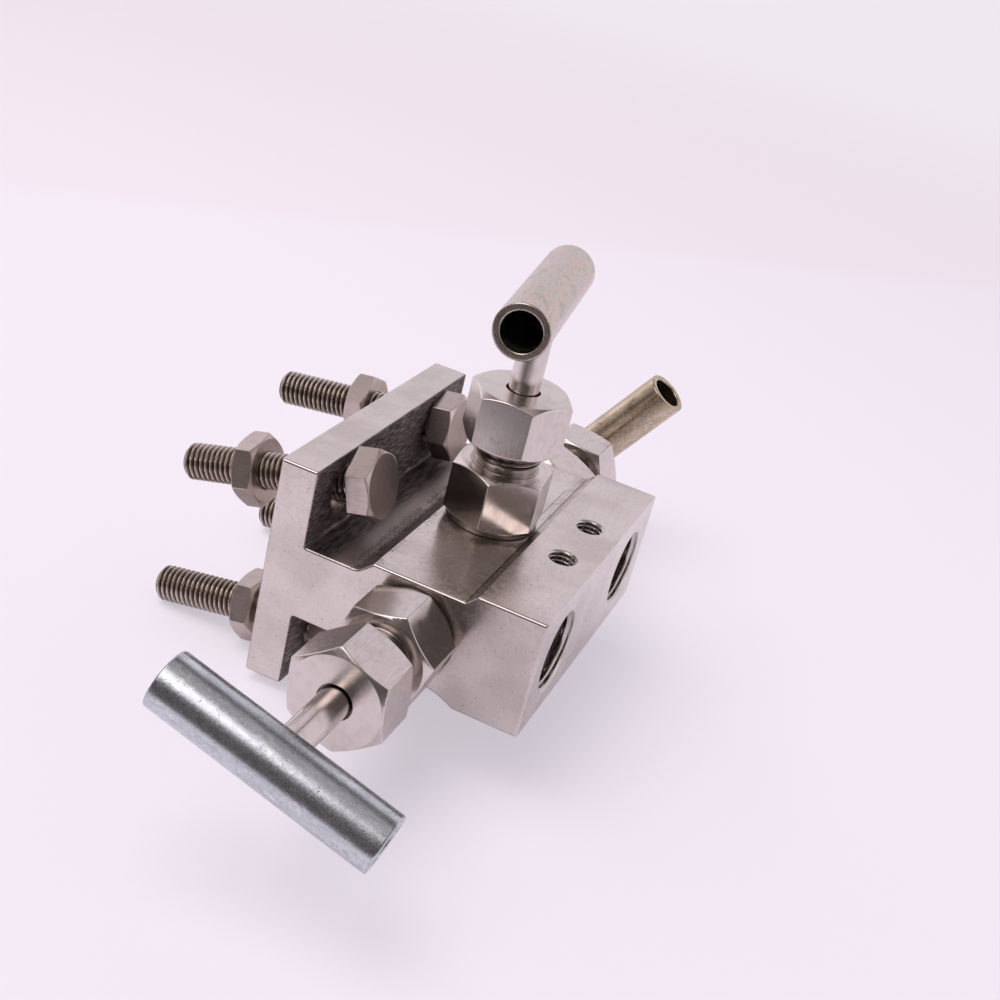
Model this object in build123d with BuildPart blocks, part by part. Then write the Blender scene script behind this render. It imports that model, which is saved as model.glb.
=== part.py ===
"""Three-valve instrument manifold: flanged block, three T-bar needle valves, loose flange bolts.

Frame: origin at the centre of the flange's mating face, +X from the flange towards the pipe
ports, Y along the line of the ports, +Z up through the equalising valve.  Millimetres.
"""

import os
from math import cos, radians, sin, sqrt, tan

from build123d import *

# ---- machined block -------------------------------------------------------------------
block_length = 89.0          # along Y, end face to end face
flange_height = 61.5
flange_thickness = 10.0
pocket_half_height = 10.0    # web beside the bolt heads, above and below the mid-plane
pocket_end = 24.8            # X where the pocket floor starts to climb
web_half_height = 13.4       # web that carries the equalising valve
web_start = 28.6             # X where the climb ends
port_block_half_height = 16.2
port_block_start = 56.1      # X of the port block's rear edge
port_face = 74.0             # X of the face with the pipe ports
pocket_corner_radius = 0.8
pocket_floor_radius = 3.0
edge_break = 0.35
under_blend_length = 9.0     # underside rise into the port block, along X

# ---- pipe ports and flange ports --------------------------------------------------------
port_spacing = 54.0
port_core_diameter = 18.6
port_thread_diameter = 21.34
port_mouth_diameter = 21.9
port_countersink_depth = 1.3
port_depth = 17.0
drill_point_angle = 118.0
passage_diameter = 6.0
flange_port_diameter = 8.0
flange_port_depth = 12.0
gasket_recess_diameter = 18.4
gasket_recess_depth = 2.4
outlet_diameter = 5.0
equaliser_diameter = 4.0
outlet_landing = 6.0         # outlet's end beyond the needle's seat
equaliser_entry_offset = 1.0 # equaliser passage into the chamber, off its lower edge
equaliser_seat_landing = 0.5 # equaliser passage below the top valve's seat cone

# ---- bracket holes on top of the port block ---------------------------------------------
bracket_hole_spacing = 21.5
bracket_hole_x = 65.2
bracket_core_diameter = 6.8
bracket_mouth_diameter = 7.8
bracket_hole_depth = 12.0

# ---- flange bolts, nuts and their clearance holes ---------------------------------------
bolt_spacing_y = port_spacing
bolt_spacing_z = 41.3
bolt_hole_diameter = 13.5
bolt_diameter = 9.9
bolt_length = 50.0
bolt_point_chamfer = 1.2
bolt_flats = 17.0
hex_bevel_share = 0.97       # circle left by a corner bevel, as a share of the flats
hex_bevel_angle = 30.0
bolt_head_height = 6.4
nut_height = 6.0
nut_play = 0.05              # radial, nut bore over bolt
bolt_seat_gap = 0.28         # bolt to the lower lip of its hole

# ---- needle valves, measured outward from the face that each one stands on --------------
valve_x = 41.0
hex_flats = 24.0
collar_diameter = 23.6
collar_height = 1.5
bonnet_hex_height = 15.0
bonnet_thread_diameter = 16.0
bonnet_thread_length = 10.0
thread_end_chamfer = 1.0
bonnet_hole_relief = 0.5
neck_diameter = 18.0
neck_relief_diameter = 16.8
neck_relief_height = 2.2
neck_relief_taper = 0.6
neck_height = 17.5
cap_gap = 6.3                # bonnet hexagon to cap nut
cap_height = 14.8
cap_roof = 3.0               # cap nut's end over the gland
cap_hole_diameter = 9.0
stem_diameter = 8.0
stem_play = 0.05             # radial, stem in its bores
packing_chamber_diameter = 13.0
packing_height = 7.5
gland_length = 3.0
chamber_diameter = 10.0
seat_bore_diameter = 5.0
fit_gap = 0.05               # radial, parts screwed or pressed together
needle_diameter = 7.6
needle_collar_height = 3.0
needle_shank_diameter = 6.4
needle_length = 9.0
needle_point_length = 3.2
needle_point_diameter = 2.6
seat_gap = 0.3               # needle to seat when shut
needle_seat_play = 0.1       # radial, needle's point in the seat bore
swivel_gap = 0.1             # stem to the needle's back

# ---- T-bar handles ------------------------------------------------------------------------
handle_shut_height = 60.0    # tube axis above the face the valve stands on, valve shut
handle_length = 57.0
handle_diameter = 14.0
handle_wall = 2.0
handle_rim_chamfer = 0.3
stem_reach = 2.8             # stem end past the tube's axis

flats_to_corners = 2 / sqrt(3)
drill_cone = tan(radians(90 - drill_point_angle / 2))
half_length = block_length / 2
half_spacing = port_spacing / 2

near_face = Plane(origin=(valve_x, -half_length, 0), x_dir=(1, 0, 0), z_dir=(0, -1, 0))
far_face = Plane(origin=(valve_x, half_length, 0), x_dir=(1, 0, 0), z_dir=(0, 1, 0))
top_face = Plane(origin=(valve_x, 0, web_half_height), x_dir=(1, 0, 0), z_dir=(0, 0, 1))

# name: face, seat depth, lift off the seat at rest, turn of bonnet, cap nut and handle
valves = {
    "near": (near_face, 21.0, 3.0, 11.6, 35.4, -15.3),
    "far": (far_face, 21.0, 2.0, 24.0, 8.0, -55.7),
    "top": (top_face, 15.0, 2.0, 36.0, 3.0, 98.7),
}

# name: Y side, Z side, droop of the tip, head standing off the flange, nut off the flange,
# turn of the head and of the nut
bolts = {
    "near_top": (-1, 1, 15.0, 4.2, 12.2, 30.0, 11.0),
    "far_top": (1, 1, 7.8, 1.5, 8.8, 12.0, 35.0),
    "near_bottom": (-1, -1, 10.4, 1.75, 5.9, 0.0, 4.0),
    "far_bottom": (1, -1, 9.0, 1.7, 8.0, 5.0, 13.0),
}


def section_plane(base):
    """Half-section of a turned piece: local X is the radius, local Y runs along base's normal."""
    return Plane(origin=base.origin, x_dir=base.x_dir, z_dir=-base.y_dir)


def turning_axis(base):
    """Axis through the plane's origin along its normal."""
    return Axis(base.origin, base.z_dir)


def hex_bar(base, height, flats, turn, low_bevel, high_bevel):
    """Hexagonal bar standing on base, its corners turned down at either end where asked."""
    inner = flats / 2 * hex_bevel_share
    outer = flats / 2 * flats_to_corners
    rise = (outer - inner) * tan(radians(hex_bevel_angle))
    foot = [(inner, 0), (outer, rise)] if low_bevel else [(outer, 0)]
    crown = [(outer, height - rise), (inner, height)] if high_bevel else [(outer, height)]
    with BuildPart() as bar:
        with BuildSketch(base):
            RegularPolygon(flats / 2, 6, major_radius=False, rotation=turn)
        extrude(amount=height)
        with BuildSketch(section_plane(base)):
            with BuildLine():
                Polyline((0, 0), *foot, *crown, (0, height), close=True)
            make_face()
        revolve(axis=turning_axis(base), mode=Mode.INTERSECT)
    return bar.part


def drilling(start, end, diameter):
    """Round passage between two points."""
    run = Vector(*end) - Vector(*start)
    with BuildPart() as hole:
        with BuildSketch(Plane(origin=start, z_dir=run)):
            Circle(diameter / 2)
        extrude(amount=run.length)
    return hole.part


def tapped_hole(mouth, core, mouth_diameter, countersink, depth):
    """Blind hole below the mouth plane: countersink, core and drill point."""
    core_radius = core / 2
    with BuildPart() as hole:
        with BuildSketch(section_plane(mouth)):
            with BuildLine():
                Polyline(
                    (0, 0),
                    (mouth_diameter / 2, 0),
                    (core_radius, -countersink),
                    (core_radius, -depth),
                    (0, -depth - core_radius * drill_cone),
                    close=True,
                )
            make_face()
        revolve(axis=turning_axis(mouth))
    return hole.part


def valve_cavity(face, seat_depth):
    """Bonnet hole, needle chamber, conical seat and seat bore below the face."""
    bonnet_radius = bonnet_thread_diameter / 2 + fit_gap
    bonnet_depth = bonnet_thread_length + bonnet_hole_relief
    chamber_radius = chamber_diameter / 2
    seat_radius = seat_bore_diameter / 2
    seat_bottom = seat_depth + chamber_radius - seat_radius
    with BuildPart() as cavity:
        with BuildSketch(section_plane(face)):
            with BuildLine():
                Polyline(
                    (0, 0),
                    (bonnet_radius, 0),
                    (bonnet_radius, -bonnet_depth),
                    (chamber_radius, -bonnet_depth),
                    (chamber_radius, -seat_depth),
                    (seat_radius, -seat_bottom),
                    (seat_radius, -seat_bottom - seat_bore_diameter),
                    (0, -seat_bottom - seat_bore_diameter),
                    close=True,
                )
            make_face()
        revolve(axis=turning_axis(face))
    return cavity.part


def ring(base, height, outer_diameter, inner_diameter):
    """Plain ring standing on base."""
    with BuildPart() as tube:
        with BuildSketch(base):
            Circle(outer_diameter / 2)
            Circle(inner_diameter / 2, mode=Mode.SUBTRACT)
        extrude(amount=height)
    return tube.part


os.makedirs("parts", exist_ok=True)

# ---- block: one extruded profile, then every hole ------------------------------------------
climb_rise = port_block_half_height - web_half_height
under_blend_start = port_block_start - under_blend_length
flange_half = flange_height / 2

with BuildPart() as manifold_body:
    with BuildSketch(Plane.XZ) as profile:
        with BuildLine():
            Polyline(
                (under_blend_start, -web_half_height),
                (web_start, -web_half_height),
                (pocket_end, -pocket_half_height),
                (flange_thickness, -pocket_half_height),
                (flange_thickness, -flange_half),
                (0, -flange_half),
                (0, flange_half),
                (flange_thickness, flange_half),
                (flange_thickness, pocket_half_height),
                (pocket_end, pocket_half_height),
                (web_start, web_half_height),
                (port_block_start - climb_rise, web_half_height),
                (port_block_start, port_block_half_height),
                (port_face, port_block_half_height),
                (port_face, -port_block_half_height),
                (port_block_start, -port_block_half_height),
            )
            TangentArc(
                (under_blend_start, -web_half_height),
                (port_block_start, -port_block_half_height),
                tangent=(1, 0),
            )
        make_face()
        floor_corners = profile.vertices().filter_by(
            lambda v: abs(v.X - pocket_end) < 0.01
        )
        fillet(floor_corners, pocket_floor_radius)
        flange_corners = profile.vertices().filter_by(
            lambda v: abs(v.X - flange_thickness) < 0.01 and abs(abs(v.Y) - pocket_half_height) < 0.01
        )
        fillet(flange_corners, pocket_corner_radius)
    extrude(amount=half_length, both=True)
    end_edges = manifold_body.faces().filter_by(Axis.Y).edges()
    chamfer(end_edges, edge_break)

    for side in (-1, 1):
        port_mouth = Plane(origin=(port_face, side * half_spacing, 0), x_dir=(0, 1, 0), z_dir=(1, 0, 0))
        add(
            tapped_hole(
                port_mouth, port_core_diameter, port_mouth_diameter, port_countersink_depth, port_depth
            ),
            mode=Mode.SUBTRACT,
        )
        passage_start = (port_face - port_depth, side * half_spacing, 0)
        add(
            drilling(passage_start, (valve_x, side * half_spacing, 0), passage_diameter),
            mode=Mode.SUBTRACT,
        )
        flange_port = (0, side * half_spacing, 0)
        flange_port_end = (flange_port_depth, side * half_spacing, 0)
        recess_end = (gasket_recess_depth, side * half_spacing, 0)
        add(drilling(flange_port, recess_end, gasket_recess_diameter), mode=Mode.SUBTRACT)
        add(drilling(flange_port, flange_port_end, flange_port_diameter), mode=Mode.SUBTRACT)
        seat_bore_mid = (valve_x, side * (half_length - valves["near"][1] - outlet_landing), 0)
        add(drilling(flange_port_end, seat_bore_mid, outlet_diameter), mode=Mode.SUBTRACT)

        bracket_mouth = Plane(
            origin=(bracket_hole_x, side * bracket_hole_spacing / 2, port_block_half_height),
            x_dir=(1, 0, 0),
            z_dir=(0, 0, 1),
        )
        bracket_countersink = (bracket_mouth_diameter - bracket_core_diameter) / 2
        add(
            tapped_hole(
                bracket_mouth,
                bracket_core_diameter,
                bracket_mouth_diameter,
                bracket_countersink,
                bracket_hole_depth,
            ),
            mode=Mode.SUBTRACT,
        )

    for face, seat_depth, *_ in valves.values():
        add(valve_cavity(face, seat_depth), mode=Mode.SUBTRACT)

    # balance passages: one side into the equaliser's chamber, the other below its seat
    top_seat = web_half_height - valves["top"][1]
    seat_bore_end = half_length - valves["near"][1] - chamber_diameter / 2
    chamber_entry = (valve_x, equaliser_entry_offset - chamber_diameter / 2, equaliser_entry_offset)
    add(drilling((valve_x, -seat_bore_end, 0), chamber_entry, equaliser_diameter), mode=Mode.SUBTRACT)
    below_seat_z = top_seat - chamber_diameter / 2 - equaliser_seat_landing
    below_seat = (valve_x, equaliser_entry_offset, below_seat_z)
    add(drilling((valve_x, seat_bore_end, 0), below_seat, equaliser_diameter), mode=Mode.SUBTRACT)

    with BuildSketch(Plane.YZ):
        with GridLocations(bolt_spacing_y, bolt_spacing_z, 2, 2):
            Circle(bolt_hole_diameter / 2)
    extrude(amount=flange_thickness, mode=Mode.SUBTRACT)

manifold_body.part.label = "manifold_body"
export_step(manifold_body.part, "parts/manifold_body.step")

# ---- one needle valve on each face ----------------------------------------------------------
stem_bore = stem_diameter + 2 * stem_play
cap_base = collar_height + bonnet_hex_height + cap_gap
neck_base = collar_height + bonnet_hex_height
neck_top = neck_base + neck_height
gland_top = cap_base + cap_height - cap_roof
packing_floor = gland_top - gland_length - packing_height

for name, (face, seat_depth, lift, bonnet_turn, cap_turn, handle_turn) in valves.items():
    with BuildPart() as bonnet:
        with BuildSketch(section_plane(face)):
            with BuildLine():
                Polyline(
                    (0, -bonnet_thread_length),
                    (bonnet_thread_diameter / 2 - thread_end_chamfer, -bonnet_thread_length),
                    (bonnet_thread_diameter / 2, thread_end_chamfer - bonnet_thread_length),
                    (bonnet_thread_diameter / 2, 0),
                    (collar_diameter / 2, 0),
                    (collar_diameter / 2, collar_height),
                    (neck_relief_diameter / 2, collar_height),
                    (neck_relief_diameter / 2, neck_base + neck_relief_height),
                    (neck_diameter / 2, neck_base + neck_relief_height + neck_relief_taper),
                    (neck_diameter / 2, neck_top - thread_end_chamfer),
                    (neck_diameter / 2 - thread_end_chamfer, neck_top),
                    (0, neck_top),
                    close=True,
                )
            make_face()
        revolve(axis=turning_axis(face))
        add(hex_bar(face.offset(collar_height), bonnet_hex_height, hex_flats, bonnet_turn, True, True))
        with BuildSketch(face.offset(-bonnet_thread_length)):
            Circle(stem_bore / 2)
        extrude(amount=bonnet_thread_length + neck_top, mode=Mode.SUBTRACT)
        with BuildSketch(face.offset(packing_floor)):
            Circle(packing_chamber_diameter / 2)
        extrude(amount=neck_top - packing_floor, mode=Mode.SUBTRACT)
    bonnet.part.label = f"bonnet_{name}"
    export_step(bonnet.part, f"parts/bonnet_{name}.step")

    with BuildPart() as packing:
        add(
            ring(
                face.offset(packing_floor),
                packing_height,
                packing_chamber_diameter - 2 * fit_gap,
                stem_bore,
            )
        )
    packing.part.label = f"packing_{name}"
    export_step(packing.part, f"parts/packing_{name}.step")

    with BuildPart() as gland:
        add(
            ring(
                face.offset(gland_top - gland_length),
                gland_length,
                packing_chamber_diameter - 2 * fit_gap,
                stem_bore,
            )
        )
    gland.part.label = f"gland_{name}"
    export_step(gland.part, f"parts/gland_{name}.step")

    with BuildPart() as cap_nut:
        add(hex_bar(face.offset(cap_base), cap_height, hex_flats, cap_turn, True, True))
        with BuildSketch(face.offset(cap_base)):
            Circle(neck_diameter / 2 + fit_gap)
        extrude(amount=gland_top - cap_base, mode=Mode.SUBTRACT)
        with BuildSketch(face.offset(gland_top)):
            Circle(cap_hole_diameter / 2)
        extrude(amount=cap_base + cap_height - gland_top, mode=Mode.SUBTRACT)
    cap_nut.part.label = f"cap_nut_{name}"
    export_step(cap_nut.part, f"parts/cap_nut_{name}.step")

    # needle: its 45-degree point shuts on the seat cone; the stem turns on its back
    seat_line = -seat_depth - (chamber_diameter - needle_shank_diameter) / 2
    needle_base = seat_line + seat_gap + lift
    needle_back = needle_base + needle_length
    needle_neck_radius = seat_bore_diameter / 2 - needle_seat_play
    with BuildPart() as needle:
        with BuildSketch(section_plane(face)):
            with BuildLine():
                Polyline(
                    (0, needle_base - needle_point_length),
                    (needle_point_diameter / 2, needle_base - needle_point_length),
                    (needle_neck_radius, needle_base - needle_shank_diameter / 2 + seat_bore_diameter / 2),
                    (needle_shank_diameter / 2, needle_base),
                    (needle_shank_diameter / 2, needle_back - needle_collar_height),
                    (needle_diameter / 2, needle_back - needle_collar_height),
                    (needle_diameter / 2, needle_back),
                    (0, needle_back),
                    close=True,
                )
            make_face()
        revolve(axis=turning_axis(face))
    needle.part.label = f"needle_{name}"
    export_step(needle.part, f"parts/needle_{name}.step")

    handle_height = handle_shut_height + lift
    stem_foot = needle_back + swivel_gap
    stem_end = handle_height + stem_reach
    with BuildPart() as stem:
        with BuildSketch(face.offset(stem_foot)):
            Circle(stem_diameter / 2)
        extrude(amount=stem_end - stem_foot)
    stem.part.label = f"stem_{name}"
    export_step(stem.part, f"parts/stem_{name}.step")

    bar_direction = face.x_dir.rotate(Axis((0, 0, 0), face.z_dir), handle_turn)
    bar_middle = Plane(origin=face.offset(handle_height).origin, x_dir=face.z_dir, z_dir=bar_direction)
    with BuildPart() as handle:
        with BuildSketch(bar_middle):
            Circle(handle_diameter / 2)
            Circle(handle_diameter / 2 - handle_wall, mode=Mode.SUBTRACT)
        extrude(amount=handle_length / 2, both=True)
        chamfer(handle.faces().filter_by(GeomType.PLANE).edges(), handle_rim_chamfer)
        with BuildSketch(face.offset(handle_height - handle_diameter / 2)):
            Circle(stem_diameter / 2 + fit_gap / 2)
        extrude(amount=handle_diameter / 2, mode=Mode.SUBTRACT)
    handle.part.label = f"handle_{name}"
    export_step(handle.part, f"parts/handle_{name}.step")

# ---- flange bolts lie drooping in their oversize holes, nuts part-way on ---------------------
for name, (side_y, side_z, droop, head_gap, nut_gap, head_turn, nut_turn) in bolts.items():
    lip_drop = bolt_hole_diameter / 2 - bolt_diameter / 2 / cos(radians(droop)) - bolt_seat_gap
    back_point = Vector(0, side_y * bolt_spacing_y / 2, side_z * bolt_spacing_z / 2 - lip_drop)
    bolt_direction = Vector(cos(radians(droop)), 0, sin(radians(droop)))
    bolt_plane = Plane(origin=back_point, x_dir=(0, 1, 0), z_dir=bolt_direction)
    head_offset = flange_thickness / cos(radians(droop)) + head_gap
    head_plane = bolt_plane.offset(head_offset)

    with BuildPart() as flange_bolt:
        with BuildSketch(head_plane):
            Circle(bolt_diameter / 2)
        extrude(amount=-bolt_length)
        tip_edge = flange_bolt.edges().sort_by(Axis.X)[0]
        chamfer(tip_edge, bolt_point_chamfer)
        add(hex_bar(head_plane, bolt_head_height, bolt_flats, head_turn, False, True))
    flange_bolt.part.label = f"flange_bolt_{name}"
    export_step(flange_bolt.part, f"parts/flange_bolt_{name}.step")

    with BuildPart() as flange_nut:
        nut_plane = bolt_plane.offset(-nut_gap - nut_height)
        add(hex_bar(nut_plane, nut_height, bolt_flats, nut_turn, True, True))
        with BuildSketch(nut_plane):
            Circle(bolt_diameter / 2 + nut_play)
        extrude(amount=nut_height, mode=Mode.SUBTRACT)
    flange_nut.part.label = f"flange_nut_{name}"
    export_step(flange_nut.part, f"parts/flange_nut_{name}.step")
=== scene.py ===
"""Looks of an instrument valve manifold: cut threads, rounded edges, metal finishes and a plain studio.

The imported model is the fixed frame, in metres: the flange's mating face lies at x = 0, the pipe ports
open toward +X, and the equalising valve stands along +Z.
"""

import logging
import math
from dataclasses import dataclass, field
from enum import Enum
from typing import Any, Sequence

import bmesh
import bpy
import numpy as np
from bpy.types import ColorRamp, Material, Mesh, Node, NodeSocket, NodeTree, Object
from mathutils import Matrix, Vector


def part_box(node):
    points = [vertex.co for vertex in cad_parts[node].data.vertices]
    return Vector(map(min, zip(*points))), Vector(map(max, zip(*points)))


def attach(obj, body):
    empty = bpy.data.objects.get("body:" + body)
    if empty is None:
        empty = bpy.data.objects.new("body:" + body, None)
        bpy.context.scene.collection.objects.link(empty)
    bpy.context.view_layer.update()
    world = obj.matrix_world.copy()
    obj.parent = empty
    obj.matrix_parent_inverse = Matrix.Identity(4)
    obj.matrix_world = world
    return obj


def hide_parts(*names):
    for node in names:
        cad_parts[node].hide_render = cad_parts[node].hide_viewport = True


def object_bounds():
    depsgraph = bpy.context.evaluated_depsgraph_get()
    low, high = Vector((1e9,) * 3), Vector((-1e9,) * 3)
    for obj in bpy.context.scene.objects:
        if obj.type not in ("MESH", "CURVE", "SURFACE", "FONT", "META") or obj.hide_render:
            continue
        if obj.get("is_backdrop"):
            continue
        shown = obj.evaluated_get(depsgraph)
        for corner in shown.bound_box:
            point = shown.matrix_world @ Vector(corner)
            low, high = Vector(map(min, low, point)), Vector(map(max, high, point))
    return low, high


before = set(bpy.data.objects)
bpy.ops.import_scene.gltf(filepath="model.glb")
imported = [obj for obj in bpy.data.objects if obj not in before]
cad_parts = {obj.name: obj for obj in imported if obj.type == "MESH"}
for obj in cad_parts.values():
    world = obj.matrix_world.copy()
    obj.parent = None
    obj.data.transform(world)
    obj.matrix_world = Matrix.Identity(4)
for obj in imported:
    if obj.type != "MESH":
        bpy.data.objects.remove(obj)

MM = 0.001
GROOVE = "groove"  # the mesh attribute that says how deep a point lies in a thread
LOG = logging.getLogger("manifold")
Colour = tuple[float, float, float]
Key = str | int
Settings = dict[str, Any] | None
Sockets = dict[Key, Any] | None


# ---- places


@dataclass(frozen=True)
class Axle:
    """A straight line that a turned part is round about."""

    centre: Vector
    direction: Vector

    def matrix(self) -> Matrix:
        """The transform that lays a thing built along Z on this line."""
        turn = self.direction.to_track_quat("Z", "Y").to_matrix().to_4x4()
        return Matrix.Translation(self.centre) @ turn

    def moved(self, distance: float) -> "Axle":
        """The same line, with its centre moved along it."""
        return Axle(self.centre + self.direction * distance, self.direction)

    def turned(self) -> "Axle":
        """The same line, the other way about."""
        return Axle(self.centre, -self.direction)

    def along(self, points: np.ndarray) -> np.ndarray:
        """How far along the line from its centre each point lies."""
        return (points - np.array(self.centre)) @ np.array(self.direction)

    def radius(self, points: np.ndarray) -> np.ndarray:
        """The distance of each point from the line."""
        offset = points - np.array(self.centre)
        return np.linalg.norm(offset - np.outer(self.along(points), np.array(self.direction)), axis=1)


@dataclass(frozen=True)
class Thread:
    """A screw thread's pitch, the radii of its ridges and valleys, and the radius lost along its length."""

    pitch: float
    ridge: float
    valley: float
    taper: float = 0.0


def placed(name: str, data: Any) -> Object:
    """Makes an object and puts it in the scene.

    Args:
        name: Its name.
        data: Its mesh, light or camera.

    Returns:
        The object.
    """
    thing = bpy.data.objects.new(name, data)
    bpy.context.scene.collection.objects.link(thing)
    return thing


def points_of(mesh: Mesh) -> np.ndarray:
    """A mesh's points, one a row."""
    return np.array([vertex.co for vertex in mesh.vertices])


def solid_axle(node: str) -> Axle:
    """The axis of a round or hexagonal CAD solid, from its volume and second moments.

    Args:
        node: The CAD node; its longest or its odd direction is the axis.

    Returns:
        The line through its centroid.
    """
    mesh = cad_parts[node].data
    mesh.calc_loop_triangles()
    corners = points_of(mesh)[np.array([t.vertices for t in mesh.loop_triangles])]
    volumes = np.linalg.det(corners) / 6.0
    centre = volumes @ corners.sum(axis=1) / 4.0 / volumes.sum()
    local = corners - centre
    volumes = np.linalg.det(local) / 6.0
    total = local.sum(axis=1)
    moments = np.einsum("i,ij,ik->jk", volumes, total, total)
    moments += np.einsum("i,inj,ink->jk", volumes, local, local)
    spread, ways = np.linalg.eigh(moments)
    odd = 2 if spread[2] - spread[1] > spread[1] - spread[0] else 0
    return Axle(Vector(centre), Vector(ways[:, odd]).normalized())


# ---- node trees


@dataclass(frozen=True, eq=False)
class Value:
    """A number, a vector or a colour on its way through a node tree.

    Arithmetic adds Math nodes, so it is for numbers; the rest goes through Nodes.vector and Nodes.mix.
    """

    nodes: "Nodes"
    socket: NodeSocket

    def __add__(self, other: Any) -> "Value":
        """Sum."""
        return self.nodes.math("ADD", self, other)

    def __sub__(self, other: Any) -> "Value":
        """Difference."""
        return self.nodes.math("SUBTRACT", self, other)

    def __rsub__(self, other: Any) -> "Value":
        """Difference from a plain number."""
        return self.nodes.math("SUBTRACT", other, self)

    def __mul__(self, other: Any) -> "Value":
        """Product."""
        return self.nodes.math("MULTIPLY", self, other)

    def __truediv__(self, other: Any) -> "Value":
        """Quotient."""
        return self.nodes.math("DIVIDE", self, other)

    def __rtruediv__(self, other: Any) -> "Value":
        """Quotient of a plain number."""
        return self.nodes.math("DIVIDE", other, self)

    def __lt__(self, other: Any) -> "Value":
        """1 where this is the smaller, else 0."""
        return self.nodes.math("LESS_THAN", self, other)

    def __gt__(self, other: Any) -> "Value":
        """1 where this is the larger, else 0."""
        return self.nodes.math("GREATER_THAN", self, other)

    __radd__ = __add__
    __rmul__ = __mul__

    def call(self, operation: str, *others: Any) -> "Value":
        """Any other Math operation, such as "SINE" or "FRACT"."""
        return self.nodes.math(operation, self, *others)

    def clamped(self) -> "Value":
        """The number kept between 0 and 1."""
        return self.call("MINIMUM", 1.0).call("MAXIMUM", 0.0)

    def off(self, place: float) -> "Value":
        """How far the number lies from a place."""
        return (self - place).call("ABSOLUTE")

    def ramp(self, low: float, high: float) -> "Value":
        """A smooth step.

        Args:
            low: Where it is 0.
            high: Where it is 1, which may be the smaller of the two.

        Returns:
            The step, from 0 to 1.
        """
        span = {"From Min": min(low, high), "From Max": max(low, high)}
        if low > high:
            span |= {"To Min": 1.0, "To Max": 0.0}
        smooth = {"interpolation_type": "SMOOTHSTEP"}
        return self.nodes.value("ShaderNodeMapRange", smooth, {"Value": self, **span}, "Result")

    def band(self, start: float, full: float, fade: float, end: float) -> "Value":
        """1 from full to fade, and smoothly down to 0 at start and at end."""
        return self.ramp(start, full) * self.ramp(end, fade)


class Nodes:
    """Builds the nodes of one tree, for a material, the world or geometry."""

    def __init__(self, tree: NodeTree) -> None:
        """Empties a tree, to be filled."""
        self.tree = tree
        tree.nodes.clear()

    @staticmethod
    def _find(sockets: Any, key: Key) -> NodeSocket:
        """Finds one of a node's sockets by its number, its identifier or its name."""
        named = {socket.identifier: socket for socket in sockets}
        return named[key] if key in named else sockets[key]

    def add(self, kind: str, settings: Settings = None, sockets: Sockets = None) -> Node:
        """Adds one node.

        Args:
            kind: The node's type, such as "ShaderNodeMath".
            settings: The node's own settings, set before its sockets. "stops" holds a ramp's colours.
            sockets: A value or a link for each named input.

        Returns:
            The new node.
        """
        node = self.tree.nodes.new(kind)
        for key, setting in (settings or {}).items():
            if key == "stops":
                self._stops(node.color_ramp, setting)
            else:
                setattr(node, key, setting)
        for key, given in (sockets or {}).items():
            self.feed(self._find(node.inputs, key), given)
        return node

    @staticmethod
    def _stops(ramp: ColorRamp, stops: Sequence[tuple[float, Colour]]) -> None:
        """Gives a colour ramp its stops.

        Args:
            ramp: The ramp, with no more stops than it is to have.
            stops: The place and the colour of each.
        """
        while len(ramp.elements) < len(stops):
            ramp.elements.new(1.0)
        for element, (place, colour) in zip(ramp.elements, stops):
            element.position = place
            element.color = (*colour, 1.0)

    def feed(self, socket: NodeSocket, given: Any) -> None:
        """Links or sets one input socket.

        Args:
            socket: The socket.
            given: A Value or an output socket to link, or what to set; a colour needs no alpha.
        """
        if isinstance(given, Value):
            given = given.socket
        if isinstance(given, NodeSocket):
            self.tree.links.new(given, socket)
        elif socket.type == "RGBA" and len(given) == 3:
            socket.default_value = (*given, 1.0)
        else:
            socket.default_value = given

    def value(self, kind: str, settings: Settings = None, sockets: Sockets = None, output: Key = 0) -> Value:
        """Adds one node and wraps one of its outputs; the arguments are those of add()."""
        node = self.add(kind, settings, sockets)
        return Value(self, self._find(node.outputs, output))

    def math(self, operation: str, *operands: Any) -> Value:
        """Adds a Math node on the operands, which are Values or plain numbers."""
        return self.value("ShaderNodeMath", {"operation": operation}, dict(enumerate(operands)))

    def vector(self, operation: str, *operands: Any, output: str = "Vector") -> Value:
        """Adds a Vector Math node on the operands."""
        sockets = dict(enumerate(operands))
        return self.value("ShaderNodeVectorMath", {"operation": operation}, sockets, output)

    def scaled(self, vector: Any, factor: Any) -> Value:
        """A vector or a colour, times a number."""
        sockets = {0: vector, "Scale": factor}
        return self.value("ShaderNodeVectorMath", {"operation": "SCALE"}, sockets, "Vector")

    def parts(self, vector: Value) -> tuple[Value, Value, Value]:
        """The X, Y and Z of a vector."""
        node = self.add("ShaderNodeSeparateXYZ", None, {0: vector})
        return tuple(Value(self, socket) for socket in node.outputs)

    def mix(self, share: Any, first: Any, second: Any) -> Value:
        """Blends two colours by share, from the first at 0 to the second at 1."""
        sockets = {"Factor_Float": share, "A_Color": first, "B_Color": second}
        return self.value("ShaderNodeMix", {"data_type": "RGBA"}, sockets, "Result_Color")

    def coats(self, base: Any, *coats: tuple[Value, Colour]) -> Value:
        """Lays colours over one another.

        Args:
            base: The colour at the bottom.
            *coats: The share and the colour of each coat, from the lowest up.

        Returns:
            The colour that shows.
        """
        for share, colour in coats:
            base = self.mix(share, base, colour)
        return base


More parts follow.
